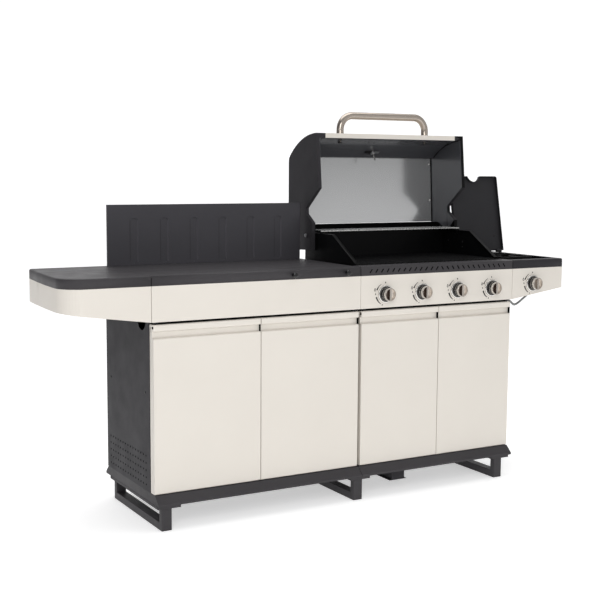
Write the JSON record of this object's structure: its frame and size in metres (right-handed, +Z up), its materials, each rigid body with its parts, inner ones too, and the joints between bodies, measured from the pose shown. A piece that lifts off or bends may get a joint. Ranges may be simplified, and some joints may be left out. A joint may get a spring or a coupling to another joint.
{
  "type": "outdoor kitchen gas grill",
  "caption": "Free-standing gas barbecue grill in steel cabinets, with open hood, control knobs, worktop, shelves and a lidded side burner.",
  "frame": {"origin": "middle of the bounding box's bottom face, on the ground", "axes": "+X to the right as seen from the front, +Y from the front to the back, +Z up; metres"},
  "size_m": [2.273, 0.634, 1.565],
  "materials": {
    "dark_paint": "satin anthracite powder coat",
    "cream_paint": "satin cream powder coat",
    "black_enamel": "black enamel",
    "cast_iron": "enamelled cast iron",
    "stainless": "brushed stainless steel",
    "zinc_plate": "zinc-plated steel",
    "brass": "plain brass",
    "black_plastic": "gloss black",
    "black_screw": "black"
  },
  "bodies": {
    "base": {"sled_feet": "dark_paint", "plinths": "dark_paint", "underfloor_bracket": "dark_paint", "left_outer_side": "dark_paint", "grill_outer_side": "dark_paint", "inner_sides": "dark_paint", "cabinet_backs": "dark_paint", "cabinet_floors": "dark_paint", "cabinet_shelf": "dark_paint", "left_fascia": "cream_paint", "control_panel": "cream_paint", "left_shelf_fascia": "cream_paint", "right_shelf_fascia": "cream_paint", "shelf_brackets": "dark_paint", "left_worktop": "dark_paint", "left_shelf_top": "dark_paint", "right_shelf_top": "dark_paint", "front_rail": "dark_paint", "splash_panel": "dark_paint", "worktop_pegs": "black_plastic", "firebox": "black_enamel", "burner_tubes": "stainless", "flame_tamers": "stainless", "cooking_grates": "cast_iron", "warming_rack": "stainless", "gas_manifold": "zinc_plate", "gas_valves": "brass", "gas_hose": "stainless", "side_burner_well": "black_enamel", "side_burner_head": "cast_iron", "side_burner_trivet": "cast_iron", "lid_hinge_brackets": "zinc_plate", "hood_pivot_bolts": "zinc_plate", "door_hardware": "zinc_plate", "knob_bezels": "stainless", "tray_rails": "dark_paint", "panel_screws": "black_screw"},
    "hood": {"hood_skin": "cream_paint", "hood_end_caps": "dark_paint", "hood_inner_shell": "black_enamel", "hood_liner": "stainless", "hood_handle": "stainless", "thermometer_case": "stainless"},
    "gauge_needle": {"thermometer_needle": "black_screw"},
    "side_lid": {"side_burner_lid": "dark_paint"},
    "tray": {"drip_tray": "zinc_plate"},
    "door_1_leaf": {"door_1": "cream_paint"},
    "door_2_leaf": {"door_2": "cream_paint"},
    "door_3_leaf": {"door_3": "cream_paint"},
    "door_4_leaf": {"door_4": "cream_paint"},
    "collar_1": {"stem_collar_1": "zinc_plate"},
    "knob_1_turned": {"knob_1": "stainless"},
    "collar_2": {"stem_collar_2": "zinc_plate"},
    "knob_2_turned": {"knob_2": "stainless"},
    "collar_3": {"stem_collar_3": "zinc_plate"},
    "knob_3_turned": {"knob_3": "stainless"},
    "collar_4": {"stem_collar_4": "zinc_plate"},
    "knob_4_turned": {"knob_4": "stainless"},
    "collar_5": {"stem_collar_5": "zinc_plate"},
    "knob_5_turned": {"knob_5": "stainless"}
  },
  "joints": [
    {"name": "hood_hinge", "type": "hinge", "parent": "base", "child": "hood", "pos_m": [0.462, 0.16, 1.038], "axis": [1, 0, 0], "range_deg": [0, 92.5]},
    {"name": "gauge_needle_turn", "type": "hinge", "parent": "hood", "child": "gauge_needle", "pos_m": [0.462, 0.25262, 1.4191], "axis": [0, 0.5373, 0.8434], "range_deg": [-270, 0], "stiffness_Nm_per_rad": 0.01},
    {"name": "side_lid_hinge", "type": "hinge", "parent": "base", "child": "side_lid", "pos_m": [0.9905, 0.124, 0.946], "axis": [1, 0, 0], "range_deg": [0, 101]},
    {"name": "drip_tray_slide", "type": "slide", "parent": "base", "child": "tray", "axis": [0, 1, 0], "range_m": [0, 0.35]},
    {"name": "door_1_hinge", "type": "hinge", "parent": "base", "child": "door_1_leaf", "pos_m": [-0.7915, -0.266, 0.446], "axis": [0, 0, -1], "range_deg": [0, 110]},
    {"name": "door_2_hinge", "type": "hinge", "parent": "base", "child": "door_2_leaf", "pos_m": [0.0575, -0.266, 0.446], "axis": [0, 0, 1], "range_deg": [0, 90]},
    {"name": "door_3_hinge", "type": "hinge", "parent": "base", "child": "door_3_leaf", "pos_m": [0.0955, -0.266, 0.446], "axis": [0, 0, -1], "range_deg": [0, 90]},
    {"name": "door_4_hinge", "type": "hinge", "parent": "base", "child": "door_4_leaf", "pos_m": [0.8285, -0.266, 0.446], "axis": [0, 0, 1], "range_deg": [0, 110]},
    {"name": "knob_1_push", "type": "slide", "parent": "base", "child": "collar_1", "axis": [0, 1, 0], "range_m": [0, 0.004], "stiffness_N_per_m": 1500},
    {"name": "knob_1_turn", "type": "hinge", "parent": "collar_1", "child": "knob_1_turned", "pos_m": [0.1945, -0.28, 0.824], "axis": [0, -1, 0], "range_deg": [0, 180]},
    {"name": "knob_2_push", "type": "slide", "parent": "base", "child": "collar_2", "axis": [0, 1, 0], "range_m": [0, 0.004], "stiffness_N_per_m": 1500},
    {"name": "knob_2_turn", "type": "hinge", "parent": "collar_2", "child": "knob_2_turned", "pos_m": [0.3745, -0.28, 0.824], "axis": [0, -1, 0], "range_deg": [0, 180]},
    {"name": "knob_3_push", "type": "slide", "parent": "base", "child": "collar_3", "axis": [0, 1, 0], "range_m": [0, 0.004], "stiffness_N_per_m": 1500},
    {"name": "knob_3_turn", "type": "hinge", "parent": "collar_3", "child": "knob_3_turned", "pos_m": [0.5545, -0.28, 0.824], "axis": [0, -1, 0], "range_deg": [0, 180]},
    {"name": "knob_4_push", "type": "slide", "parent": "base", "child": "collar_4", "axis": [0, 1, 0], "range_m": [0, 0.004], "stiffness_N_per_m": 1500},
    {"name": "knob_4_turn", "type": "hinge", "parent": "collar_4", "child": "knob_4_turned", "pos_m": [0.7345, -0.28, 0.824], "axis": [0, -1, 0], "range_deg": [0, 180]},
    {"name": "knob_5_push", "type": "slide", "parent": "base", "child": "collar_5", "axis": [0, 1, 0], "range_m": [0, 0.004], "stiffness_N_per_m": 1500},
    {"name": "knob_5_turn", "type": "hinge", "parent": "collar_5", "child": "knob_5_turned", "pos_m": [0.9605, -0.28, 0.834], "axis": [0, -1, 0], "range_deg": [0, 180]}
  ]
}
